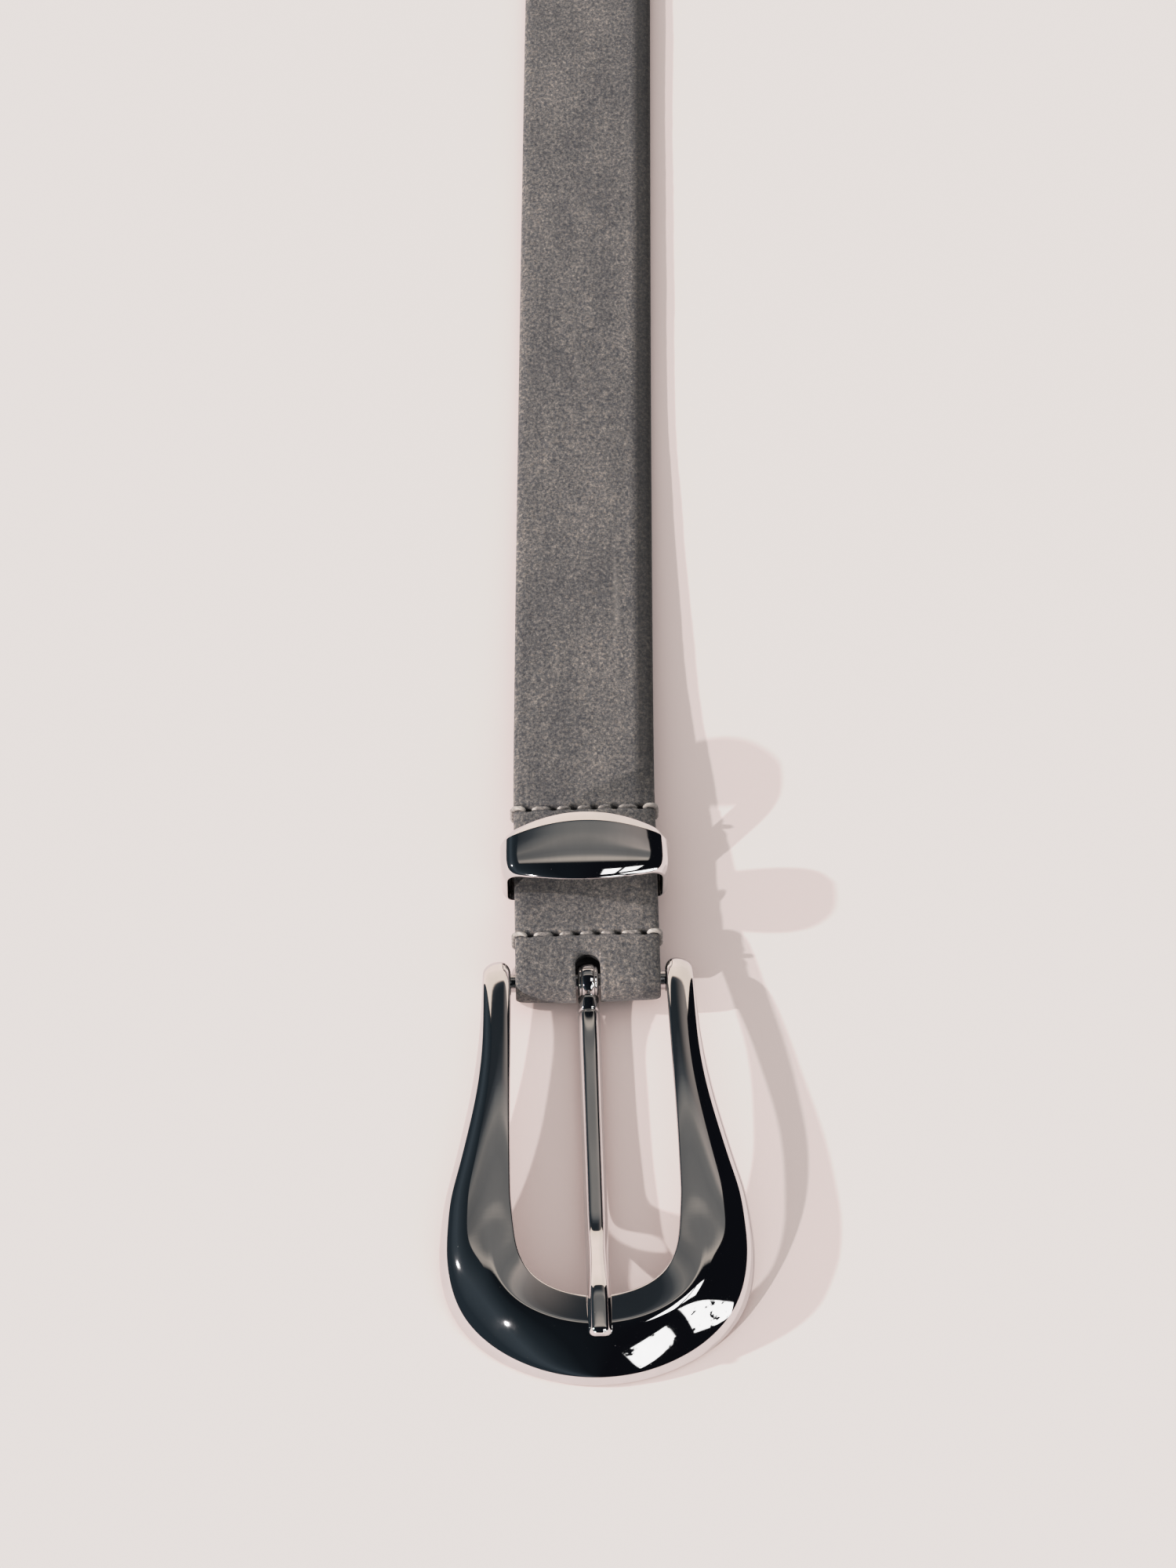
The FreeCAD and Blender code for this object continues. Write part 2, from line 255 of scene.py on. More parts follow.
def surface(name):
    """A new material: its nodes, its shader and the object's own coordinates."""
    material = bpy.data.materials.new(name)
    material.use_nodes = True
    nodes = Nodes(material.node_tree)
    shader = nodes.add("ShaderNodeBsdfPrincipled")
    out = nodes.add("ShaderNodeOutputMaterial")
    nodes.tree.links.new(shader.outputs[0], out.inputs[0])
    where = nodes.add("ShaderNodeTexCoord").outputs["Object"]
    return material, nodes, shader, where


def chrome(name, tone, roughness):
    """Mirror plate with faint polishing haze and a few specks of dust."""
    material, nodes, shader, where = surface(name)
    shader.inputs["Metallic"].default_value = 1.0
    haze = nodes.noise(where, 260.0, 4.0, 0.6, (1, 0.35, 1))
    specks = nodes.noise(where, 2600.0, 1.0)
    hazed_tone = tuple(c * 0.94 for c in tone[:3]) + (1,)
    nodes.feed(shader.inputs["Base Color"], nodes.mix(nodes.spread(haze, 0.3, 0.7), tone, hazed_tone))
    hazed = nodes.spread(haze, 0.35, 0.75, roughness, roughness * 2.2)
    dust = nodes.math("MULTIPLY", nodes.spread(specks, 0.80, 0.86), 0.3)
    nodes.feed(shader.inputs["Roughness"], nodes.math("ADD", hazed, dust))
    scratches = nodes.noise(where, 900.0, 2.0, 0.5, (0.12, 1, 1))
    nodes.feed(shader.inputs["Normal"], nodes.bump(scratches, 0.01, 0.0001))
    return material


def nubuck():
    """Grey napped leather: cloudy brushed patches, a strongly speckled nap, and the painted shade on top."""
    material, nodes, shader, where = surface("nubuck")
    clouds = nodes.noise(where, 55.0, 4.0, 0.6, (1.5, 0.6, 1))
    streaks = nodes.noise(where, 70.0, 3.0, 0.6, (2.6, 0.2, 1))
    flecks = nodes.noise(where, 1500.0, 5.0, 0.8, (1.0, 0.8, 1))
    warm = nodes.noise(where, 2300.0, 3.0, 0.7, (0.8, 1.0, 1))
    nap_tones = [(0.32, linear(36, 37, 41)), (0.44, linear(70, 69, 70)), (0.52, linear(92, 89, 87)),
                 (0.60, linear(120, 114, 108)), (0.72, linear(170, 160, 150))]
    colour = nodes.ramp(flecks, nap_tones)
    colour = nodes.mix(nodes.spread(warm, 0.52, 0.68, 0.0, 0.5), colour, linear(136, 124, 112))
    colour = nodes.mix(nodes.spread(warm, 0.48, 0.34, 0.0, 0.5), colour, linear(54, 58, 66))
    patch_tones = [(0.32, (0.72, 0.73, 0.76, 1)), (0.52, (1.0, 1.0, 1.0, 1)), (0.68, (1.28, 1.26, 1.24, 1))]
    colour = nodes.mix(1.0, colour, nodes.ramp(clouds, patch_tones), "MULTIPLY")
    colour = nodes.mix(nodes.spread(streaks, 0.62, 0.78, 0.0, 0.3), colour, linear(150, 143, 136))
    shade = nodes.add("ShaderNodeAttribute", attribute_name="shade")
    colour = nodes.mix(1.0, colour, shade.outputs["Color"], "MULTIPLY")
    nodes.feed(shader.inputs["Base Color"], colour)
    nodes.feed(shader.inputs["Roughness"], nodes.spread(flecks, 0.3, 0.7, 0.85, 1.0))
    shader.inputs["Specular IOR Level"].default_value = 0.1
    shader.inputs["Sheen Weight"].default_value = 0.12
    shader.inputs["Sheen Roughness"].default_value = 0.6
    nap = nodes.bump(warm, 0.5, 0.00015)
    nodes.feed(shader.inputs["Normal"], nodes.bump(flecks, 0.5, 0.0003, nap))
    return material


def grained_leather(name, dark, light):
    """Smooth dyed leather with a pebble grain, for the lining and the cut edges."""
    material, nodes, shader, where = surface(name)
    cells = nodes.add("ShaderNodeTexVoronoi", Vector=where, Scale=1400.0, feature="DISTANCE_TO_EDGE")
    cloud = nodes.noise(where, 120.0, 3.0)
    nodes.feed(shader.inputs["Base Color"], nodes.ramp(cloud, [(0.3, dark), (0.7, light)]))
    nodes.feed(shader.inputs["Roughness"], nodes.spread(cloud, 0.3, 0.7, 0.5, 0.68))
    pebble = nodes.spread(cells.outputs["Distance"], 0.0, 0.25)
    nodes.feed(shader.inputs["Normal"], nodes.bump(pebble, 0.35, 0.0001))
    return material


def thread():
    """Waxed sewing thread in the leather's grey, fuzzy, with a painted highlight where it comes out of each
    hole.
    """
    material, nodes, shader, where = surface("waxed_thread")
    fluff = nodes.noise(where, 2400.0, 3.0, 0.7)
    colour = nodes.ramp(fluff, [(0.3, linear(72, 70, 70)), (0.7, linear(150, 142, 135))])
    shade = nodes.add("ShaderNodeAttribute", attribute_name="shade")
    # the stored painted highlight mixes the thread towards pale
    colour = nodes.mix(shade.outputs["Fac"], colour, linear(186, 177, 168))
    nodes.feed(shader.inputs["Base Color"], colour)
    shader.inputs["Roughness"].default_value = 0.9
    shader.inputs["Sheen Weight"].default_value = 0.3
    ply = nodes.add("ShaderNodeTexWave", Vector=where, Scale=420.0, Distortion=1.5,
                    bands_direction="DIAGONAL")
    nodes.feed(shader.inputs["Normal"], nodes.bump(ply.outputs["Fac"], 0.6, 0.00015))
    return material


PLATE = 0.70  # share of the light that the chrome throws back
plate_tone = (PLATE, PLATE, PLATE * 1.01, 1)
frame_chrome = chrome("polished_chrome", plate_tone, 0.02)
prong_chrome = chrome("prong_chrome", plate_tone, 0.03)
keeper_chrome = chrome("keeper_chrome", plate_tone, 0.03)
bar_steel = chrome("bar_steel", (0.45, 0.45, 0.46, 1), 0.12)
nubuck_leather = nubuck()
lining_leather = grained_leather("lining_leather", linear(26, 26, 27), linear(44, 43, 43))
filler_leather = grained_leather("bonded_leather", linear(40, 36, 34), linear(66, 60, 56))
waxed_thread = thread()

# ---------------------------------------------------------------------------------------------- frame

ear_reach = 4.6  # the ears' round ends, behind the bar's axis
ear_out = 21.6
ear_in = 16.0
ear_round = 3.2  # length of an ear's round end
ear_fall = 1.1  # how far it falls over that length
lug_r = 2.8
lug_out = 20.6
fan_y = -50.0  # below this the ribs fan out from (0, fan_y)
rim_h = 1.0
crest_share = 0.28  # the crest's place across the band, from the inner edge
crest_rise = 0.45  # the crest's height above the inner edge
inner_power = 2.2  # roundness from the crest in to the inner edge
dome_power = 1.85  # roundness of the outer slope
tip_crest_share = 0.42  # the same four at the tip
tip_rise = 1.25
tip_inner_power = 1.2
tip_power = 1.45
tip_from, tip_full = -60.0, -82.0  # the band changes smoothly from one to the other between these
rim_turn, rim_power = 0.08, 16  # how much of the tip's slope turns down close to the rim, and how sharply
inner_wall = 1.9
shell_t = 2.0
hollow_from, hollow_full = -8.0, -28.0  # the hollow below reaches its depth between these
lip_w, lip_h = 0.4, 0.35  # rounding of the inner edge
rim_inset = 0.97  # the rim's lower edge, as a share of the way across
# Round the rim's lower edge: share of the way across, and height as a share of rim_h
RIM_EDGE = [(0.999, 0.55), (0.992, 0.2), (0.972, 0.0)]
UNDER_SHARES = (0.95, 0.92, 0.86, 0.75, 0.6, 0.45, 0.3, 0.18, 0.1, 0.05, 0.02)

# Half outlines along the limbs: (Y, half width), and round the fan: (angle below X, radius)
LIMB_OUT = Smooth([(-50, 30.1), (-43, 28.3), (-36, 26.6), (-22, 23.8), (-10, 22.4), (ear_reach, ear_out)])
LIMB_IN = Smooth([(-50, 17.0), (-36, 16.85), (-18, 16.4), (ear_reach, ear_in)])
FAN_OUT = Smooth([(0, 30.1), (10, 31.5), (20, 33.6), (30, 35.8), (42, 37.8), (55, 38.6), (72, 38.7),
                  (90, 38.65)])
FAN_IN = Smooth([(0, 17.0), (15, 17.4), (32, 19.2), (48, 21.7), (62, 22.7), (76, 22.8), (90, 22.8)])
# Heights against Y: the inner edge's lower side and the outer rim's lower side
INNER_LOW = Smooth([(-72.8, 6.8), (-67, 7.85), (-58, 9.2), (-46, 9.9), (-36, 10.0), (-24, 9.4), (-12, 8.15),
                    (-6, 7.4), (0, 6.25), (ear_reach, 5.1)])
OUTER_LOW = Smooth([(-88.7, 0.05), (-84, 0.25), (-78, 0.8), (-70, 1.9), (-62, 3.3), (-54, 5.1), (-44, 6.3),
                    (-30, 6.8), (-14, 6.9), (0, 6.2), (ear_reach, 5.2)])


def ease(at, start, full):
    """0 before start, 1 past full and even in between."""
    return min(max((at - start) / (full - start), 0.0), 1.0)


def rib(inner, outer):
    """The points round one cross-section of the frame's band: over the dome, round the rim and back below."""
    low_in, low_out = INNER_LOW(inner[1]), OUTER_LOW(outer[1])
    across = math.dist(inner, outer)
    top_in = low_in + inner_wall
    rim = low_out + rim_h
    tip = ease(outer[1], tip_from, tip_full)
    tip = tip * tip * (3 - 2 * tip)
    peak = crest_share + (tip_crest_share - crest_share) * tip
    rise = crest_rise + (tip_rise - crest_rise) * tip
    rise_power = inner_power + (tip_inner_power - inner_power) * tip
    crest = top_in + rise
    points = []

    def at(share, z):
        points.append((inner[0] + (outer[0] - inner[0]) * share, inner[1] + (outer[1] - inner[1]) * share, z))

    def inner_top(share):
        return crest - rise * max(1 - share / peak, 0.0) ** rise_power

    lip = lip_w / across
    at(0.0, low_in + 0.3)
    at(0.0, (low_in + top_in) / 2 - 0.2)
    for degrees in steps(0, 84, 12):
        turn = math.radians(degrees)
        at(lip * (1 - math.cos(turn)), inner_top(lip * (1 - math.cos(turn))) - lip_h * (1 - math.sin(turn)))
    for share in steps(lip * 1.02, peak, 12):
        at(share, inner_top(share))
    for degrees in steps(6, 90, 21):
        turn = math.radians(degrees)
        out = math.sin(turn) ** (2 / dome_power)
        limb_height = max(math.cos(turn), 0.0) ** (2 / dome_power)
        tip_height = 1 - (1 - rim_turn) * out**tip_power - rim_turn * out**rim_power
        height = limb_height + (tip_height - limb_height) * tip
        at(peak + (1 - peak) * out, rim + (crest - rim) * height)
    for share, up in RIM_EDGE:
        at(share, low_out + rim_h * up)
    depth = ease(inner[1], hollow_from, hollow_full) * (crest - (low_in + low_out) / 2.0 - shell_t)
    for share in UNDER_SHARES:
        flat = low_in + (low_out - low_in) * share / rim_inset
        at(share, flat + depth * math.sin(math.pi * share / rim_inset))
    return points


def frame_stations():
    """Inner and outer outline points from the right ear's end round the tip to the left ear's end."""
    pairs = []
    for y in (ear_reach - ear_round, -2, -10, -18, -27, -36, -44, -50):
        pairs.append(((LIMB_IN(y), y), (LIMB_OUT(y), y)))
    for degrees in (11, 22, 33, 44, 56, 68, 79, 90):
        a = math.radians(degrees)
        radii = (FAN_IN(degrees), FAN_OUT(degrees))
        pairs.append(tuple((math.cos(a) * radius, fan_y - math.sin(a) * radius) for radius in radii))
    mirrored = [tuple((-x, y) for x, y in pair) for pair in pairs[-2::-1]]
    return pairs + mirrored


def frame_rings(per_station=8):
    """Rings right round the frame: the ribs at the stations, joined smoothly."""
    stations = frame_stations()
    ribs = [numpy.array(rib(inner, outer)) for inner, outer in stations]
    along = Smooth(list(enumerate(ribs)))
    last = len(ribs) - 1
    rings = [along(t) for t in steps(0, last, last * per_station)]
    return round_ends(rings)


def round_ends(rings):
    """Closes each ear with a smooth round end, by drawing its last ring in while moving it along."""

    def cap(ring):
        heart = ring.mean(axis=0)
        done = []
        for degrees in (12, 24, 36, 47, 57, 66, 74, 81, 86):
            turn = math.radians(degrees)
            drawn = (ring - heart) * math.cos(turn) ** 0.9 + heart
            done.append(drawn + numpy.array((0, ear_round, -ear_fall)) * math.sin(turn))
        return done

    return cap(rings[0])[::-1] + rings + cap(rings[-1])


band = [[tuple(p) for p in ring] for ring in frame_rings()]
mesh_piece("buckle_frame_plate", band, "frame", "buckle_frame", frame_chrome)


def cylinder_rings(radius, x0, x1, edge, n=48):
    """Rings along X for a rod with eased ends."""

    def ring(x, r):
        turns = [2 * math.pi * i / n for i in range(n)]
        return [(x, r * math.cos(turn), bar_z + r * math.sin(turn)) for turn in turns]

    ends = [(edge * (1 - math.cos(t)), radius - edge * (1 - math.sin(t))) for t in steps(0, math.pi / 2, 4)]
    rings = [ring(x0 + inset, r) for inset, r in ends]
    return rings + [ring(x1 - inset, r) for inset, r in ends[::-1]]


rod = cylinder_rings(bar_r, -bar_half, bar_half, 0.2)
mesh_piece("heel_bar_rod", rod, "frame", "heel_bar", bar_steel)
for side, name in ((-1, "ear_lug_left"), (1, "ear_lug_right")):
    low, high = sorted((side * ear_in, side * lug_out))
    mesh_piece(name, cylinder_rings(lug_r, low, high, 0.4), "frame", None, frame_chrome)

# ---------------------------------------------------------------------------------------------- prong

# Side profile of the prong's upper and lower faces: (Y, height)
PRONG_TOP = Smooth([(-82.6, 12.28), (-80, 12.45), (-76, 12.6), (-73, 12.45), (-70.5, 11.75), (-67.5, 10.45),
                    (-63, 8.3), (-58.5, 6.5), (-52, 5.75), (-38, 5.25), (-20, 5.0), (-9, 5.35), (-4.0, 6.3)])
PRONG_UNDER = Smooth([(-82.6, 10.0), (-80, 10.25), (-76, 10.3), (-72.5, 9.9), (-69, 8.6), (-64.5, 6.2),
                      (-59.5, 3.9), (-52, 2.95), (-38, 2.45), (-20, 2.2), (-9, 2.3), (-4.0, 2.6)])
shaft_start = -3.0  # inside the eye
neck_rings_to = -9.0  # up to here the shaft's rings are closer together
prong_end = -82.6
shaft_end = -81.2  # from here to prong_end the shaft rounds off
eye_r = 3.8
eye_half_w = 2.15
shaft_half_w = 2.37
neck_end = 6.6  # from here on the shaft is a little wider than the eye
# Half of the shaft's section: share of the half width, and share of the height below the ridge
SHAFT_HALF = [(0, 0), (0.22, 0.006), (0.38, 0.022), (0.48, 0.05), (0.56, 0.085), (0.64, 0.14), (0.70, 0.20),
              (0.78, 0.31), (0.87, 0.45), (0.95, 0.60), (0.99, 0.72), (1, 0.82), (0.97, 0.93), (0.88, 1),
              (0.5, 1), (0, 1)]


def shaft_ring(y, shrink):
    """One cross-section of the prong's shaft: a flat ridge, rounded shoulders and splayed flanks."""
    top, under = PRONG_TOP(y), PRONG_UNDER(y)
    half_w = shaft_half_w * shrink - 0.22 * bump(y + neck_end - 3.0, 3.4) - 0.18 * bump(y + neck_end, 0.5)
    middle = (top + under) / 2
    half_h = (top - under) / 2 * shrink**0.6 - 0.15 * bump(y + neck_end, 0.5)
    half = [(x * half_w, middle + half_h * (1 - 2 * down)) for x, down in SHAFT_HALF]
    left = [(-x, z) for x, z in half[-2:0:-1]]
    return [(x, y, z) for x, z in half + left]


def prong_rings():
    """Rings along the shaft, close together at its neck and round its end."""
    rings = [shaft_ring(y, 1.0) for y in steps(shaft_start, neck_rings_to, 40)]
    rings += [shaft_ring(y, 1.0) for y in steps(neck_rings_to, shaft_end, 150)[1:]]
    for degrees in steps(10, 84, 9):
        turn = math.radians(degrees)
        rings.append(shaft_ring(shaft_end + (prong_end - shaft_end) * math.sin(turn), math.cos(turn) ** 0.6))
    return rings


# The eye's outer profile from its bore outwards: distance in from its side, and below its full radius
EYE_RIM = [(0, 1.8), (0, 1.1), (0.08, 0.85), (0.25, 0.66), (0.5, 0.5), (0.66, 0.52), (0.78, 0.40),
           (0.95, 0.22), (1.25, 0.08), (1.7, 0.01)]


def eye_rings(n=72):
    """The prong's eye as a turned bead round the bar: a bellied middle, a groove each side and eased rims."""
    half = [(eye_half_w - inset, eye_r - drop) for inset, drop in EYE_RIM]
    profile = [(-x, r) for x, r in half] + half[::-1]
    rings = []
    for i in range(n):
        turn = 2 * math.pi * i / n
        rings.append([(x, r * math.cos(turn), bar_z + r * math.sin(turn)) for x, r in profile])
    return rings


mesh_piece("prong_shaft", prong_rings(), "prong", "prong", prong_chrome)
mesh_piece("prong_eye", eye_rings(), "prong", None, prong_chrome, loop=True)

# --------------------------------------------------------------------------------------------- keeper

keeper_y = 24.6  # the keeper's middle, behind the bar's axis
keeper_half_w = 17.6
keeper_wall = 1.5
keeper_bottom = 3.95
keeper_crown = 20.7
keeper_half_l = 8.0  # half its length along the strap, at its middle
keeper_side_half_l = 4.4  # the same at its side walls
keeper_bow_r = 41.0  # radius of the bowed top
keeper_bow_half = 14.6  # half the bow's width, up to the round shoulders
keeper_foot = 1.4
keeper_top_t = 2.0
keeper_bar_t = 1.1
face_depth = 0.93  # how far through the wall the face's deepest edge reaches
# The plate's outer face along the strap, at its middle: distance from the middle, and drop below the crown
KEEPER_FACE = [(8.0, 1.75), (7.97, 1.45), (7.8, 1.22), (7.3, 0.93), (6.3, 0.48), (5.45, 0.13),
               (5.0, 0.05), (3.4, 0.02), (1.8, 0), (0, 0.02), (-1.8, 0.10), (-3.4, 0.28), (-4.6, 0.5),
               (-5.5, 0.75), (-6.3, 1.07), (-7.0, 1.45), (-7.55, 1.85), (-7.85, 2.2), (-8.0, 2.6)]


def keeper_outline(half_w, bottom, crown, bow_half):
    """Points round the keeper seen from the front, from the left of the bow clockwise."""
    lean = math.asin(bow_half / keeper_bow_r)
    bow_end = crown - keeper_bow_r * (1 - math.cos(lean))
    corner = (half_w - bow_half) / (1 - math.sin(lean))
    side = bow_end - corner * math.cos(lean)
    half = []
    for turn in steps(0, lean, 18):
        half.append((keeper_bow_r * math.sin(turn), crown - keeper_bow_r * (1 - math.cos(turn))))
    for turn in steps(lean, math.pi / 2, 14)[1:]:
        half.append((half_w - corner + corner * math.sin(turn), side + corner * math.cos(turn)))
    for z in steps(side, bottom + keeper_foot, 9)[1:]:
        half.append((half_w, z))
    for turn in steps(0, math.pi / 2, 6)[1:]:
        foot_x = half_w - keeper_foot * (1 - math.cos(turn))
        half.append((foot_x, bottom + keeper_foot * (1 - math.sin(turn))))
    for x in steps(half_w - keeper_foot, 0, 10)[1:]:
        half.append((x, bottom))
    return half + [(-x, z) for x, z in half[-2:0:-1]]


def keeper_rings():
    """Rings through the loop's wall: a broad face with a bevel to the rear and a rounded front."""
    outer = keeper_outline(keeper_half_w, keeper_bottom, keeper_crown, keeper_bow_half)
    inner_half_w = keeper_half_w - keeper_wall
    inner_bow_half = keeper_bow_half - keeper_wall + 0.1
    inner = keeper_outline(inner_half_w, keeper_bottom + keeper_bar_t, keeper_crown - keeper_top_t,
                           inner_bow_half)
    face = Smooth(list(enumerate(KEEPER_FACE)))
    section = [face(t) for t in steps(0, len(KEEPER_FACE) - 1, 60)]
    deepest = max(drop for along, drop in KEEPER_FACE)
    rings = []
    for (ox, oz), (ix, iz) in zip(outer, inner):
        bow = max(1 - (ox / (keeper_half_w + 0.5)) ** 2, 0.0) if oz > bar_z + 3 else 0.0
        half_l = keeper_side_half_l + (keeper_half_l - keeper_side_half_l) * bow
        ring = []
        for along, drop in section:
            share = drop / deepest * face_depth
            y = keeper_y + along / keeper_half_l * half_l
            ring.append((ox + (ix - ox) * share, y, oz + (iz - oz) * share))
        for share in steps(-1, 1, 8):
            ring.append((ix, keeper_y + share * (half_l - 0.2), iz))
        rings.append(ring)
    return rings


mesh_piece("keeper_plate", keeper_rings(), "keeper", "keeper_loop", keeper_chrome,
           loop=True)

# ---------------------------------------------------------------------------------------------- strap

# Profiles along the strap: (distance behind the bar's axis, height)
TOP = Smooth([(0, bar_z + fold_r2), (5, 9.25), (seam_front, 8.9), (20, 8.75), (30, 8.4), (36, 7.95),
              (seam_rear, 7.4), (50, 6.8), (60, 6.15), (80, 5.2), (105, 4.4), (125, 3.75), (145, 3.3),
              (flat_start, strap_t)], True)
MAIN_UNDER = Smooth([(0, bar_z + fold_r0), (5, 6.75), (seam_front, 5.35), (14, 5.6), (24, 5.6), (33, 5.5),
                     (seam_rear, 4.3), (50, 3.6), (60, 2.95), (80, 2.0), (105, 1.2), (125, 0.55), (145, 0.1),
                     (flat_start, 0)], True)
TURNED_TOP = Smooth([(0, bar_z - fold_r0), (5, 3.7), (seam_front, 4.9), (14, 3.65), (24, 3.6), (33, 3.65),
                     (seam_rear, 3.95), (turned_end, 3.3)], True)
TURNED_UNDER = Smooth([(0, bar_z - fold_r2), (5, 1.9), (seam_front, 3.1), (14, 1.95), (24, 1.8), (33, 1.85),
                       (seam_rear, 2.15), (turned_end, 1.5)], True)
stitch_pitch = 4.3
stitch_end_pitch = 5.4
half_w = strap_w / 2
MIDDLE_HOLES = [(i - 2.5) * stitch_pitch for i in range(1, 5)]
HOLES = [MIDDLE_HOLES[0] - stitch_end_pitch] + MIDDLE_HOLES + [MIDDLE_HOLES[-1] + stitch_end_pitch]
NO_SEAM = -99.0  # a place far from every seam
fold_steps = 28
drift_slope = 0.0105  # the strap's sideways drift: even at first, and growing from drift_start
drift_start = 45.0
drift_reach = 5.4
cut_front, cut_foot, cut_top = -9.0, -2.0, 14.0  # the slot cutter's front end, foot and top


def strap_ys():
    """Places along the top layer, closer together round the seams."""
    fine = steps(0, 60, 200)
    return fine + steps(60, strap_end, 150)[1:]


def layer_path(upper, lower, fold_radius):
    """(y, z) along one face of a layer, from the cut end over the top, round the bar and back below.

    upper and lower give the face's height at a place on the upper and the lower run.
    """
    path = [(y, upper(y)) for y in reversed(strap_ys())]
    for turn in steps(0, math.pi, fold_steps)[1:-1]:
        path.append((-fold_radius * math.sin(turn), bar_z + fold_radius * math.cos(turn)))
    return path + [(y, lower(y)) for y in steps(0, turned_end, 160)]


def plan_shift(y):
    """The strap's gentle sideways drift as it lies: straight on past the seams, then curving away."""
    growing = max(y - drift_start, 0.0) / (strap_end - drift_start)
    return drift_slope * max(y, 0.0) + drift_reach * growing**1.15


def columns():
    """Places across the strap, closer together near its edges."""
    edge = [half_w - d for d in (0, 0.04, 0.12, 0.25, 0.42, 0.65, 0.95, 1.4)]
    inner = steps(-13.2, 13.2, 88)
    return [-x for x in edge] + inner + edge[::-1]


def sewn(x, along):
    """How far the face is pressed in at a seam: a shallow groove with a long hole at each stitch's end."""
    groove = 0.22 * bump(along, 1.3) - 0.12 * bump(abs(along) - 1.7, 1.2)
    for hole in HOLES:
        groove += 1.1 * bump(x - hole, 1.15) ** 0.7 * bump(along, 0.7) ** 0.7
    return groove


def face_relief(x, y, upper):
    """Height of the face leather above its plain profile, in millimetres."""
    edge = half_w - abs(x)
    crown = 0.38 * (1 - (x / half_w) ** 2)
    round_off = 0.95 if upper else 0.7
    if x > 0 and upper and y > 45:
        round_off = 1.25
    height = crown
    if edge < round_off * 2:
        height -= round_off * (1 - math.sqrt(max(1 - (1 - edge / (round_off * 2)) ** 2, 0.0)))
    height -= sewn(x, y - seam_front) + sewn(x, y - seam_rear)
    ripple = noise.noise(Vector((x * 0.09, y * 0.05, 3.0 if upper else 9.0)))
    height += 0.14 * ripple + 0.05 * noise.noise(Vector((x * 0.4, y * 0.35, 5.0)))
    return height


def slot_distance(x, y):
    """Distance outside the prong slot's edge."""
    centre = slot_reach - slot_half_w
    if y < centre:
        return abs(x) - slot_half_w
    return math.hypot(x, y - centre) - slot_half_w


def painted_shade_and_wear_at(x, y, upper):
    """How light the nap is at a place: painted shade towards the right edge, where it rolls away from the
    lamps, a painted shadow under the keeper and painted shade in the holes; rubbed pale on lumps and paler
    along the left edge.
    """
    value = 1.0
    if upper:
        # painted shade along the right edge, which rolls away from the lamps; weaker near the buckle
        value -= 0.80 * ease(x, 10.2, 12.0) * min(max((y - 30.0) / 25.0, 0.35), 1.0)
        # painted shadow of the keeper on the strap round it, darker towards the left
        value -= 0.32 * bump(y - 22.5, 7.5) * (1 - x / 40)
        value += 0.25 * bump(x + half_w, 0.5)
    for seam in (seam_front, seam_rear):
        value += 0.12 * bump(abs(y - seam) - 1.1, 0.8)
        for hole in HOLES:
            # painted shade inside each stitch hole
            value -= 1.3 * bump(x - hole, 1.25) ** 0.7 * bump(y - seam, 0.85) ** 0.7
    return max(value, 0.02)


def face_rings():
    """The face leather's rings across the strap, and how light each of their points is."""
    outer = layer_path(TOP, TURNED_UNDER, fold_r2)
    inner = layer_path(lambda y: TOP(y) - face_t, lambda y: TURNED_TOP(y) - fold_lining_t, fold_r1)
    rings, shades = [], []
    ups = len(strap_ys())
    for i, ((y, z), (v, w)) in enumerate(zip(outer, inner)):
        upper = i < ups + fold_steps // 2
        before, after = outer[max(i - 1, 0)], outer[min(i + 1, len(outer) - 1)]
        along = Vector((after[0] - before[0], after[1] - before[1])).normalized()
        out = Vector((along[1], -along[0])) if along.length else Vector((0, 1))
        if i < ups and out[1] < 0:
            out = -out
        ring, tones = [], []
        seam_y = NO_SEAM if y <= 0 else y
        for x in columns():
            lift = face_relief(x, seam_y, upper)
            if upper and y < 8:
                near = slot_distance(x, y)
                lift += 0.10 * bump(near - 0.9, 0.9) - 0.25 * bump(near, 0.5)
            ring.append((x + plan_shift(y), y + out[0] * lift, z + out[1] * lift))
            tones.append(painted_shade_and_wear_at(x, seam_y, upper))
        for x in reversed(columns()):
            ring.append((x * 0.997 + plan_shift(y), v, w))
            tones.append(0.5)
        rings.append(ring)
        shades.append(tones)
    return rings, shades


def paint(piece, values):
    """Stores how light each point is, for the material to read."""
    attribute = piece.data.color_attributes.new("shade", "FLOAT_COLOR", "POINT")
    flat = [v for tones in values for v in tones]
    attribute.data.foreach_set("color", [c for v in flat for c in (v, v, v, 1.0)])


def slot_cutter():
    """A round-ended block standing through the fold where the prong passes."""
    work = bmesh.new()
    outline = [(-slot_half_w, cut_front)]
    centre = slot_reach - slot_half_w
    for degrees in steps(180, 0, 24):
        turn = math.radians(degrees)
        outline.append((slot_half_w * math.cos(turn), centre + slot_half_w * math.sin(turn)))
    outline.append((slot_half_w, cut_front))
    lower = [work.verts.new(place((x, y, cut_foot))) for x, y in outline]
    upper = [work.verts.new(place((x, y, cut_top))) for x, y in outline]
    work.faces.new(lower[::-1])
    work.faces.new(upper)
    for i in range(len(outline)):
        j = (i + 1) % len(outline)
        work.faces.new((lower[i], lower[j], upper[j], upper[i]))
    bmesh.ops.recalc_face_normals(work, faces=work.faces)
    mesh = bpy.data.meshes.new("slot_cutter")
    work.to_mesh(mesh)
    work.free()
    cutter = bpy.data.objects.new("slot_cutter", mesh)
    bpy.context.scene.collection.objects.link(cutter)
    return cutter


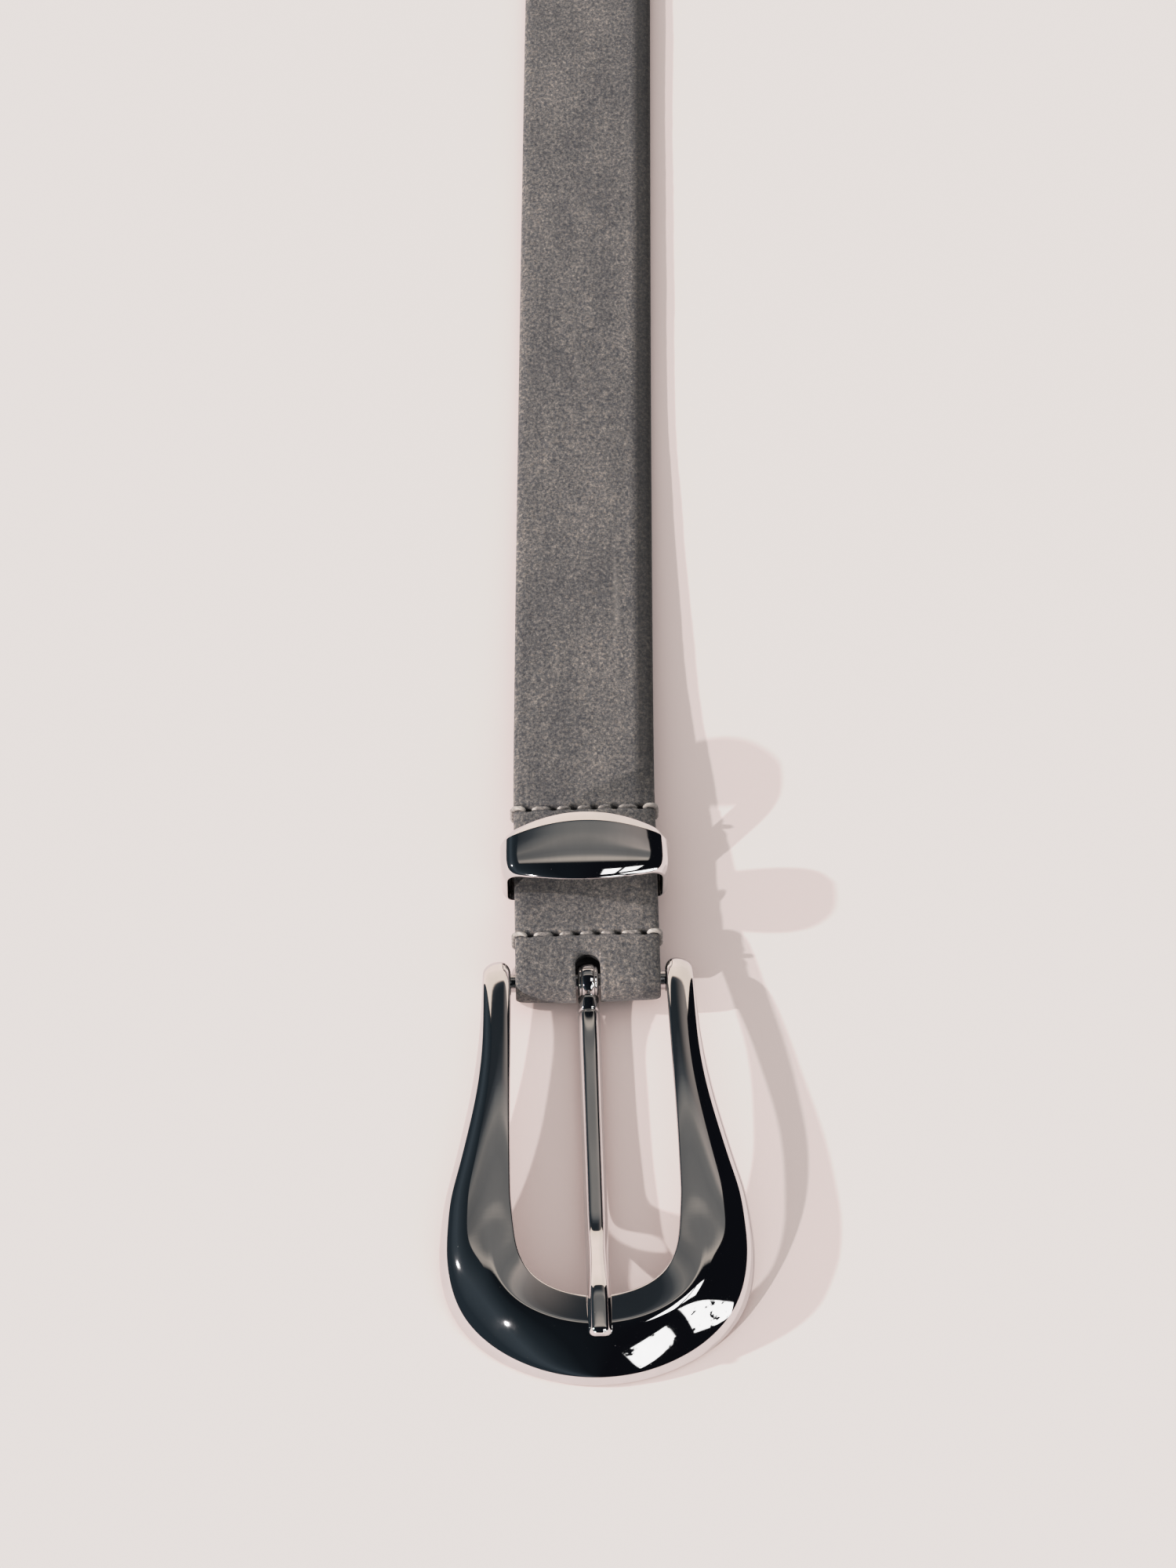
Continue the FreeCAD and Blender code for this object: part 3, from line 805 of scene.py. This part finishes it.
def cut_slot(piece, cutter):
    """Cuts the prong's slot out of a layer and keeps the result as its mesh."""
    modifier = piece.modifiers.new("slot", "BOOLEAN")
    modifier.operation = "DIFFERENCE"
    modifier.solver = "EXACT"
    modifier.object = cutter
    graph = bpy.context.evaluated_depsgraph_get()
    cut = bpy.data.meshes.new_from_object(piece.evaluated_get(graph))
    piece.modifiers.clear()
    piece.data = cut


def strip_rings(path_out, path_in, inset):
    """Rings for one of the plain inner layers: a flat band with slightly eased edges."""
    edge = [half_w - inset, half_w - inset - 0.15]
    across = [-x for x in edge] + steps(-12, 12, 12) + edge[::-1]
    rings = []
    for (y, z), (v, w) in zip(path_out, path_in):
        ring = [(x + plan_shift(y), y, z) for x in across]
        ring += [(x + plan_shift(v), v, w) for x in reversed(across)]
        rings.append(ring)
    return rings


cutter = slot_cutter()
rings, shades = face_rings()
strap_face = mesh_piece("strap_face_nubuck", rings, "strap", "strap_face", nubuck_leather)
paint(strap_face, shades)
cut_slot(strap_face, cutter)

filler_start = 5  # behind the bar's axis; the lining is pared thinner from here to the fold


def lining_upper(y):
    return MAIN_UNDER(y) + fold_lining_t + (lining_t - fold_lining_t) * ease(y, 0, filler_start)


lining_out = layer_path(lining_upper, lambda y: TURNED_TOP(y) - fold_lining_t, fold_r1)
lining_in = layer_path(MAIN_UNDER, TURNED_TOP, fold_r0)
strap_lining = mesh_piece("strap_lining_leather", strip_rings(lining_out, lining_in, 0.15), "strap",
                          "strap_lining", lining_leather)
cut_slot(strap_lining, cutter)

filler_top = [(y, TOP(y) - face_t) for y in reversed(strap_ys()) if y >= filler_start]
filler_under = [(y, MAIN_UNDER(y) + lining_t) for y, z in filler_top]
mesh_piece("strap_filler_core", strip_rings(filler_top, filler_under, 0.1), "strap", "strap_filler",
           filler_leather)
bpy.data.objects.remove(cutter)

# ------------------------------------------------------------------------------------------- stitches

thread_r = 0.4
wrap_r = 0.55  # the thicker stitch over the strap's edge
hole_half_w = 0.9


def tube(points, radius, n=10):
    """Rings of a tube along points, thinner at both ends."""
    rings = []
    for i, p in enumerate(points):
        p = Vector(p)
        before, after = points[max(i - 1, 0)], points[min(i + 1, len(points) - 1)]
        along = (Vector(after) - Vector(before)).normalized()
        side = along.cross(Vector((0, 1, 0)))
        side = side.normalized() if side.length > 1e-6 else Vector((1, 0, 0))
        up = side.cross(along)
        r = radius * (0.7 + 0.3 * math.sin(math.pi * i / (len(points) - 1)))
        ring = []
        for k in range(n):
            turn = 2 * math.pi * k / n
            fuzz = 1 + 0.16 * noise.noise(p * 3.1 + Vector((math.cos(turn), 0, math.sin(turn))))
            ring.append(tuple(p + (side * math.cos(turn) + up * math.sin(turn)) * r * fuzz))
        rings.append(ring)
    return rings


def short_stitch(a, b, seam, z, up):
    """A stitch between two holes: out of one, flat along the leather and down into the next."""
    path = []
    for share in steps(0, 1, 16):
        x = a + hole_half_w + (b - a - 2 * hole_half_w) * share
        rise = min(1.0, 5 * min(share, 1 - share)) ** 0.6
        wobble = 0.15 * noise.noise(Vector((x * 0.9, seam, z)))
        path.append((x, seam + wobble, z + up * (-0.7 + 0.8 * rise)))
    return path


def edge_wrap(side, seam, top_z, under_z):
    """The stitch from the last hole over the strap's edge to the underside."""
    start, reach = side * HOLES[-1], half_w + 0.05
    path = [(start + side * hole_half_w, seam, top_z - 0.6)]
    path += [(start + side * (hole_half_w + 0.4), seam, top_z + 0.12)]
    path += [(side * (reach - 1.1), seam + 0.1, top_z + 0.2)]
    path += [(side * (reach - 0.2), seam + 0.15, top_z - 0.15)]
    path += [(side * (reach + 0.15), seam + 0.1, z) for z in steps(top_z - 0.9, under_z + 0.9, 5)]
    path += [(side * (reach - 0.35), seam, under_z + 0.25), (side * (reach - 1.2), seam, under_z - 0.15)]
    path += [(start + side * 1.0, seam, under_z - 0.1), (start + side * 0.55, seam, under_z + 0.6)]
    along = Smooth(list(enumerate([numpy.array(p) for p in path])))
    return [tuple(along(t)) for t in steps(0, len(path) - 1, 60)]


def stitch_piece(name, replaced, seam, top_z, under_z):
    """One row: dipping into the holes above and below, and wrapped over both edges of the strap."""
    runs = []
    for a, b in zip(HOLES, HOLES[1:]):
        runs.append((short_stitch(a, b, seam, top_z, 1), thread_r))
        runs.append((short_stitch(a, b, seam, under_z, -1), thread_r))
    for side in (-1, 1):
        runs.append((edge_wrap(side, seam, top_z, under_z), wrap_r))
    verts, faces, painted_highlights = [], [], []
    for path, radius in runs:
        rings = tube(path, radius)
        base, n = len(verts), len(rings[0])
        shift = Vector((plan_shift(seam), 0, 0))
        for i, ring in enumerate(rings):
            verts += [place(Vector(p) + shift) for p in ring]
            # painted highlight: each stitch pale just past the hole it comes out of, and the edge wraps a
            # touch paler all along
            painted_highlights += [[0.85 * bump(i / (len(rings) - 1) - 0.1, 0.2) + 0.05 * (radius > thread_r)] * n]
        for r in range(len(rings) - 1):
            for i in range(n):
                j = (i + 1) % n
                a, b = base + r * n, base + (r + 1) * n
                faces.append((a + i, a + j, b + j, b + i))
        faces.append(tuple(range(base, base + n))[::-1])
        faces.append(tuple(range(len(verts) - n, len(verts))))
    mesh = bpy.data.meshes.new(name)
    mesh.from_pydata(verts, [], faces)
    piece = finish_piece(name, mesh, "strap", replaced, waxed_thread)
    paint(piece, painted_highlights)


for name, replaced, seam in (("stitching_front", "stitch_row_front", seam_front),
                             ("stitching_rear", "stitch_row_rear", seam_rear)):
    stitch_piece(name, replaced, seam, TOP(seam) + 0.1, TURNED_UNDER(seam))

# --------------------------------------------------------------------------------------------- studio

camera_elevation = math.radians(58.1)
camera_distance = 933.6
camera_turn = math.radians(-1.7)
looks_at = 51.5  # behind the bar's axis
lamp_strength = 2.95
lamp_spread = 1.2
lamp_tint = (1.0, 0.93, 0.925)


def camera():
    """The camera stands before the buckle's tip and looks down the strap."""
    data = bpy.data.cameras.new("camera")
    data.lens = 100.0
    data.sensor_width = 36.0
    shot = bpy.data.objects.new("camera", data)
    bpy.context.scene.collection.objects.link(shot)
    back = Vector((0, -math.cos(camera_elevation), math.sin(camera_elevation)))
    target = Vector((0, looks_at, 0))
    around = Matrix.Rotation(camera_turn, 3, "Z")
    target, back = around @ target, around @ back
    shot.location = place(target + back * camera_distance)
    shot.rotation_mode = "QUATERNION"
    shot.rotation_quaternion = (-back).to_track_quat("-Z", "Y")
    data.clip_start, data.clip_end = 0.05, 50.0
    bpy.context.scene.camera = shot


def camera_response():
    """Shows the scene plainly, with highlights held back as a camera does."""
    view = bpy.context.scene.view_settings
    view.view_transform = "Standard"
    view.use_curve_mapping = True
    view.curve_mapping.use_clip = False
    curve = view.curve_mapping.curves[3]
    while len(curve.points) < len(RESPONSE):
        curve.points.new(0.5, 0.5)
    for point, place_on_curve in zip(curve.points, RESPONSE):
        point.location = place_on_curve
    view.curve_mapping.update()


def floor():
    """A wide sheet of matt warm paper, just below the model."""
    material, nodes, shader, where = surface("paper_floor")
    cloud = nodes.noise(where, 3.0, 2.0)
    paper = [(0.3, (0.822, 0.677, 0.637, 1)), (0.7, (0.834, 0.687, 0.646, 1))]
    nodes.feed(shader.inputs["Base Color"], nodes.ramp(cloud, paper))
    shader.inputs["Roughness"].default_value = 0.9
    shader.inputs["Specular IOR Level"].default_value = 0.1
    mesh = bpy.data.meshes.new("floor")
    far = 6.0
    mesh.from_pydata([(-far, -far, 0), (far, -far, 0), (far, far, 0), (-far, far, 0)], [], [(0, 1, 2, 3)])
    mesh.materials.append(material)
    plane = bpy.data.objects.new("floor", mesh)
    plane.location.z = -0.00002
    bpy.context.scene.collection.objects.link(plane)


def sun(name, direction):
    """A hard lamp far away, whose light travels in the given direction."""
    data = bpy.data.lights.new(name, "SUN")
    data.energy = lamp_strength
    data.angle = math.radians(lamp_spread)
    data.color = lamp_tint
    lamp = bpy.data.objects.new(name, data)
    lamp.rotation_mode = "QUATERNION"
    lamp.rotation_quaternion = Vector(direction).to_track_quat("-Z", "Y")
    bpy.context.scene.collection.objects.link(lamp)


# What the chrome sees ahead of it: distance ahead for each unit of height, and its colour in the plate
SWEEP = [(0.20, (30, 33, 36)), (0.26, (160, 152, 144)), (0.31, (164, 156, 148)), (0.38, (106, 104, 102)),
         (0.46, (98, 97, 96)), (0.53, (106, 104, 102)), (0.60, (122, 118, 114)), (0.68, (98, 98, 97)),
         (0.75, (62, 65, 68)), (0.86, (34, 39, 43)), (1.15, (32, 37, 41)), (1.22, (50, 54, 58)),
         (1.27, (216, 203, 194)), (3.0, (224, 212, 204))]
# What it sees to the left, from near by outwards as a share of 4 units across, and to the right
LEFT_SIDE = [(0.1, (16, 20, 24)), (0.25, (30, 37, 42)), (0.45, (52, 60, 66)), (1.0, (34, 42, 48))]
RIGHT_SIDE = (11, 12, 16)
WINDOW_LIGHT = (3.2, 3.15, 3.1, 1)
ROOM_LIGHT = 0.77  # on the matt surfaces
BACKDROP = (232, 224, 221)  # what the eye sees past the floor's edge


def mirrored(*rgb):
    """The light that looks like these eight-bit values when the chrome reflects it."""
    return tuple(c / PLATE for c in shown(*rgb)[:3]) + (1.0,)


# Corners of what the window shows of itself in the chrome, going round: a direction's x and y over 1 + its z
PANES = [[(0.115, -0.06), (0.235, -0.057), (0.22, -0.235), (0.11, -0.24)],
         [(0.248, -0.055), (0.375, -0.05), (0.365, -0.20), (0.237, -0.215)],
         [(0.25, -0.27), (0.84, -0.275), (0.93, -0.41), (0.54, -0.55)],
         [(0.11, -0.63), (0.28, -0.43), (0.43, -0.58), (0.25, -0.83)]]


def pane(nodes, u, v, corners):
    """1 inside a four-cornered pane whose corners go round clockwise, 0 outside it."""
    inside = None
    for (u0, v0), (u1, v1) in zip(corners, corners[1:] + corners[:1]):
        length = math.dist((u0, v0), (u1, v1))
        way_u, way_v = (v1 - v0) / length, (u0 - u1) / length
        depth = nodes.math("MULTIPLY_ADD", v, way_v, -(u0 * way_u + v0 * way_v))
        edge = nodes.spread(nodes.math("MULTIPLY_ADD", u, way_u, depth), 0.0, 0.012)
        inside = edge if inside is None else nodes.math("MULTIPLY", inside, edge)
    return inside


def window(nodes, way, split):
    """1 where the chrome sees one of the window's panes, with dark foliage in front of the lower ones."""
    x, y, z = split.outputs
    whole = nodes.math("ADD", z, 1.02)
    u, v = nodes.math("DIVIDE", x, whole), nodes.math("DIVIDE", y, whole)
    total = 0.0
    for corners in PANES:
        total = nodes.math("MAXIMUM", pane(nodes, u, v, corners), total)
    leaves = nodes.spread(nodes.noise(way, 8.0, 3.0, 0.6), 0.39, 0.42)
    clear = nodes.math("MAXIMUM", leaves, nodes.spread(v, -0.30, -0.26))
    return nodes.math("MULTIPLY", total, clear)


def chrome_view(nodes):
    """What the chrome sees: a sweep behind it between dark sides, and the window in front."""
    way = nodes.add("ShaderNodeTexCoord").outputs["Generated"]
    split = nodes.add("ShaderNodeSeparateXYZ", Vector=way)
    x, y, z = split.outputs
    high = nodes.math("MAXIMUM", z, 0.02)
    across, ahead = nodes.math("DIVIDE", x, high), nodes.math("DIVIDE", y, high)
    far = SWEEP[-1][0]
    sweep = nodes.ramp(nodes.math("DIVIDE", ahead, far), [(at / far, mirrored(*rgb)) for at, rgb in SWEEP])
    # The sweep reaches as far to each side near by, and further where it turns up into the pale backdrop.
    spreading = nodes.math("MAXIMUM", nodes.math("MULTIPLY_ADD", ahead, 1.2, -1.38), 0.0)
    reach = nodes.math("ADD", spreading, 0.85)
    left_in = nodes.spread(nodes.math("ADD", across, reach), 0.0, 0.03)
    right_in = nodes.spread(nodes.math("SUBTRACT", reach, across), 0.0, 0.03)
    front_in = nodes.spread(ahead, 0.18, 0.21)
    inside = nodes.math("MULTIPLY", nodes.math("MULTIPLY", left_in, right_in), front_in)
    glow_right = nodes.spread(across, 0.05, 0.7, 0.0, 0.32)
    glow = nodes.math("MULTIPLY", glow_right, nodes.spread(ahead, 0.52, 0.62))
    sweep = nodes.mix(glow, sweep, mirrored(196, 186, 177))
    dusk_left = nodes.spread(across, -0.05, -0.7, 0.0, 0.25)
    dusk = nodes.math("MULTIPLY", dusk_left, nodes.spread(ahead, 1.25, 1.15))
    sweep = nodes.mix(dusk, sweep, mirrored(40, 44, 48))
    left = nodes.ramp(nodes.math("DIVIDE", across, -4.0), [(at, mirrored(*rgb)) for at, rgb in LEFT_SIDE])
    sides = nodes.mix(nodes.spread(across, -0.3, 0.3), left, mirrored(*RIGHT_SIDE))
    seen = nodes.mix(inside, sides, sweep)
    return nodes.mix(window(nodes, way, split), seen, WINDOW_LIGHT)


def choose(nodes, share, a, b):
    """Shader a where share is 0 and b where it is 1."""
    node = nodes.add("ShaderNodeMixShader")
    for socket, value in zip(node.inputs, (share, a, b)):
        nodes.feed(socket, value)
    return node.outputs[0]


def room():
    """A pale room for the eye and an even light for the matt surfaces; the chrome has its own view of it."""
    world = bpy.data.worlds.new("room")
    bpy.context.scene.world = world
    world.use_nodes = True
    world.cycles.sampling_method = "NONE"
    nodes = Nodes(world.node_tree)
    mirror = nodes.add("ShaderNodeBackground", Color=chrome_view(nodes), Strength=1.0)
    matt = nodes.add("ShaderNodeBackground", Color=(1.0, 1.0, 1.0, 1), Strength=ROOM_LIGHT)
    eye = nodes.add("ShaderNodeBackground", Color=shown(*BACKDROP), Strength=1.0)
    path = nodes.add("ShaderNodeLightPath").outputs
    lit = choose(nodes, path["Is Glossy Ray"], matt.outputs[0], mirror.outputs[0])
    seen = choose(nodes, path["Is Camera Ray"], lit, eye.outputs[0])
    out = nodes.add("ShaderNodeOutputWorld")
    nodes.feed(out.inputs[0], seen)


camera()
floor()
sun("lamp_front_left", (1.576, 1.515, -1.0))
sun("lamp_left", (2.13, -0.163, -1.0))
room()
camera_response()
